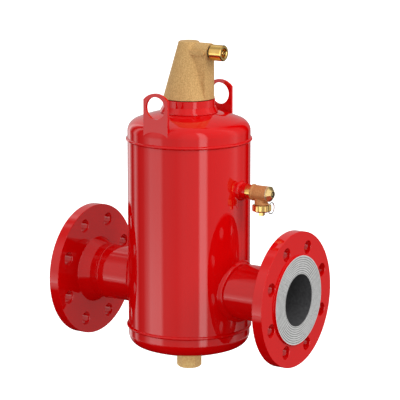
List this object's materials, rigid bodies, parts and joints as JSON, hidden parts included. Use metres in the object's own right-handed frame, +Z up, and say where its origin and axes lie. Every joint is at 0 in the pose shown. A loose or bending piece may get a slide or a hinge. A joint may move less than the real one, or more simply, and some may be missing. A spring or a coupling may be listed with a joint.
{
  "type": "flanged air separator",
  "caption": "Flanged in-line air separator: upright dished-end vessel with side pipe flanges, lifting lugs, cone-shaped float air vent, skim cock and drain plug.",
  "frame": {"origin": "where the pipe axis crosses the vessel axis, midway between the two flange faces", "axes": "+X along the pipe towards the outlet flange, +Z up the vessel towards the air vent, +Y across both"},
  "size_m": [0.35, 0.185, 0.456],
  "materials": {
    "red_paint": "gloss enamel over steel",
    "cast_brass": "sand-cast, fine grained",
    "polished_brass": "turned and polished",
    "bronze": "sand-cast bronze, satin",
    "stainless": "plain stainless steel",
    "bare_steel": "machined sealing face with fine concentric grooves",
    "float_plastic": "moulded",
    "rubber": "matt black",
    "gasket_fibre": "pale fibre"
  },
  "bodies": {
    "vessel": {"vessel_shell": "red_paint", "top_head": "red_paint", "bottom_head": "red_paint", "top_girth_weld": "red_paint", "bottom_girth_weld": "red_paint", "inlet_nozzle": "red_paint", "outlet_nozzle": "red_paint", "inlet_nozzle_weld": "red_paint", "outlet_nozzle_weld": "red_paint", "inlet_flange": "red_paint", "outlet_flange": "red_paint", "inlet_flange_weld": "red_paint", "outlet_flange_weld": "red_paint", "lifting_lug_front": "red_paint", "lifting_lug_back": "red_paint", "vent_neck": "red_paint", "vent_neck_weld": "red_paint", "skim_socket": "red_paint", "skim_socket_weld": "red_paint", "drain_socket": "red_paint", "packing_basket": "stainless", "basket_lid": "stainless", "lever_pin": "stainless", "lever_bracket": "stainless", "bracket_screw": "stainless", "packing_ring_01": "stainless", "packing_ring_02": "stainless", "packing_ring_03": "stainless", "packing_ring_04": "stainless", "packing_ring_05": "stainless", "packing_ring_06": "stainless", "packing_ring_07": "stainless", "packing_ring_08": "stainless", "packing_ring_09": "stainless", "packing_ring_10": "stainless", "packing_ring_11": "stainless", "packing_ring_12": "stainless", "packing_ring_13": "stainless", "packing_ring_14": "stainless", "vent_body": "cast_brass", "vent_outlet": "polished_brass", "outlet_nipple": "polished_brass", "cock_bonnet": "polished_brass", "valve_seat": "polished_brass", "cock_body": "bronze", "vent_seal": "rubber", "outlet_washer": "rubber", "spindle_oring": "rubber", "cock_gasket": "gasket_fibre"},
    "float": {"vent_float": "float_plastic", "float_rod": "stainless"},
    "lever": {"float_lever": "stainless", "valve_pad": "rubber"},
    "cock_washer": {"cock_washer": "rubber"},
    "cock_spindle": {"cock_spindle": "polished_brass"},
    "cap_washer": {"cap_washer": "rubber"},
    "hose_cap": {"hose_cap": "polished_brass"},
    "cap_ring": {"cap_ring": "stainless"},
    "drain_seal": {"drain_seal": "rubber"},
    "drain_plug": {"drain_plug": "cast_brass"}
  },
  "joints": [
    {"name": "float_travel", "type": "slide", "parent": "vessel", "child": "float", "axis": [0, 0, 1], "range_m": [0, 0.006]},
    {"name": "lever_swing", "type": "hinge", "parent": "vessel", "child": "lever", "pos_m": [0.026, 0, 0.3015], "axis": [0, 1, 0], "range_deg": [0, 13.25]},
    {"name": "spindle_travel", "type": "slide", "parent": "vessel", "child": "cock_washer", "axis": [1, 0, 0], "range_m": [0, 0.003]},
    {"name": "spindle_turn", "type": "hinge", "parent": "cock_washer", "child": "cock_spindle", "pos_m": [0.115, 0, 0.1396], "axis": [1, 0, 0], "range_deg": [0, 720.5]},
    {"name": "cap_travel", "type": "slide", "parent": "vessel", "child": "cap_washer", "axis": [0, 0, -1], "range_m": [0, 0.00544]},
    {"name": "cap_turn", "type": "hinge", "parent": "cap_washer", "child": "hose_cap", "pos_m": [0.1163, 0, 0.119], "axis": [0, 0, -1], "range_deg": [0, 1080.5]},
    {"name": "ring_swing", "type": "hinge", "parent": "hose_cap", "child": "cap_ring", "pos_m": [0.1163, 0.0175, 0.1162], "axis": [1, 0, 0], "range_deg": [-13, 22]},
    {"name": "drain_travel", "type": "slide", "parent": "vessel", "child": "drain_seal", "axis": [0, 0, -1], "range_m": [0, 0.00544]},
    {"name": "drain_turn", "type": "hinge", "parent": "drain_seal", "child": "drain_plug", "pos_m": [0, 0, -0.105], "axis": [0, 0, -1], "range_deg": [0, 1080.5]}
  ],
  "couplings": [
    {"joint": "lever_swing", "follows": "float_travel", "rad_per_m": 38.462},
    {"joint": "spindle_turn", "follows": "spindle_travel", "rad_per_m": 4188.8},
    {"joint": "cap_turn", "follows": "cap_travel", "rad_per_m": 3463.7},
    {"joint": "drain_turn", "follows": "drain_travel", "rad_per_m": 3463.7}
  ]
}
